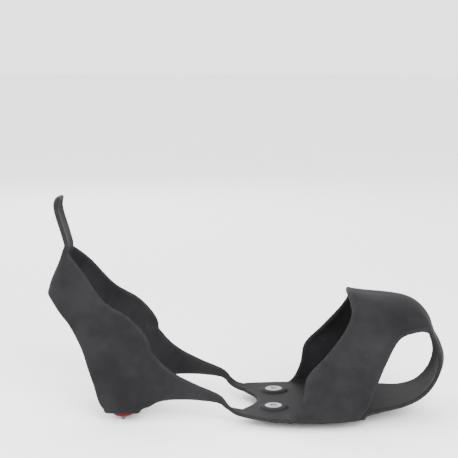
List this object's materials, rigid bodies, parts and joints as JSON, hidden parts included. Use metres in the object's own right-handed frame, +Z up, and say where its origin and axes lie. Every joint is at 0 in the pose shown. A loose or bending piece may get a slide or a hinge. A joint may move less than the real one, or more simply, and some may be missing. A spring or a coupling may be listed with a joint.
{
  "type": "slip-on ice cleat",
  "caption": "Stretch rubber ice cleat for one boot: toe cap with side windows, side bands, heel straps, pull tab and domed discs with hard spike tips under forefoot and heel.",
  "frame": {"origin": "in the plane of the stud tips, under the middle of the cleat's overall box", "axes": "+X to the toe, +Y to the left, +Z up"},
  "size_m": [0.2988, 0.1084, 0.165],
  "materials": {
    "rubber": "matte moulded rubber",
    "red_disc": "satin moulded red plastic",
    "stud_steel": "turned zinc-plated steel",
    "hard_tip": "ground sintered carbide"
  },
  "bodies": {
    "forefoot": {"forefoot_plate": "rubber", "toe_cap": "rubber", "toe_strap": "rubber", "side_band_right": "rubber", "side_band_left": "rubber", "arch_strap_right": "rubber", "arch_strap_left": "rubber", "toe_right_insert": "stud_steel", "toe_right_disc": "red_disc", "toe_right_spike": "stud_steel", "toe_right_tip": "hard_tip", "toe_left_insert": "stud_steel", "toe_left_disc": "red_disc", "toe_left_spike": "stud_steel", "toe_left_tip": "hard_tip", "ball_right_insert": "stud_steel", "ball_right_disc": "red_disc", "ball_right_spike": "stud_steel", "ball_right_tip": "hard_tip", "ball_left_insert": "stud_steel", "ball_left_disc": "red_disc", "ball_left_spike": "stud_steel", "ball_left_tip": "hard_tip"},
    "heel": {"heel_bar": "rubber", "heel_web_right": "rubber", "heel_web_left": "rubber", "heel_right_insert": "stud_steel", "heel_right_disc": "red_disc", "heel_right_spike": "stud_steel", "heel_right_tip": "hard_tip", "heel_left_insert": "stud_steel", "heel_left_disc": "red_disc", "heel_left_spike": "stud_steel", "heel_left_tip": "hard_tip"},
    "heel_loop": {"heel_strap_right": "rubber", "heel_strap_left": "rubber", "back_strap": "rubber"},
    "tab": {"pull_tab": "rubber"}
  },
  "joints": [
    {"name": "arch_flex", "type": "hinge", "parent": "forefoot", "child": "heel", "pos_m": [-0.0185, 0, 0.0195], "axis": [0, 1, 0], "range_deg": [-10, 30], "stiffness_Nm_per_rad": 1.5},
    {"name": "heel_pull", "type": "hinge", "parent": "heel", "child": "heel_loop", "pos_m": [-0.092, 0, 0.016], "axis": [0, -1, 0], "range_deg": [0, 30], "stiffness_Nm_per_rad": 2},
    {"name": "tab_flex", "type": "hinge", "parent": "heel_loop", "child": "tab", "pos_m": [-0.1336, 0, 0.1274], "axis": [0, -1, 0], "range_deg": [-35, 60], "stiffness_Nm_per_rad": 0.08}
  ]
}
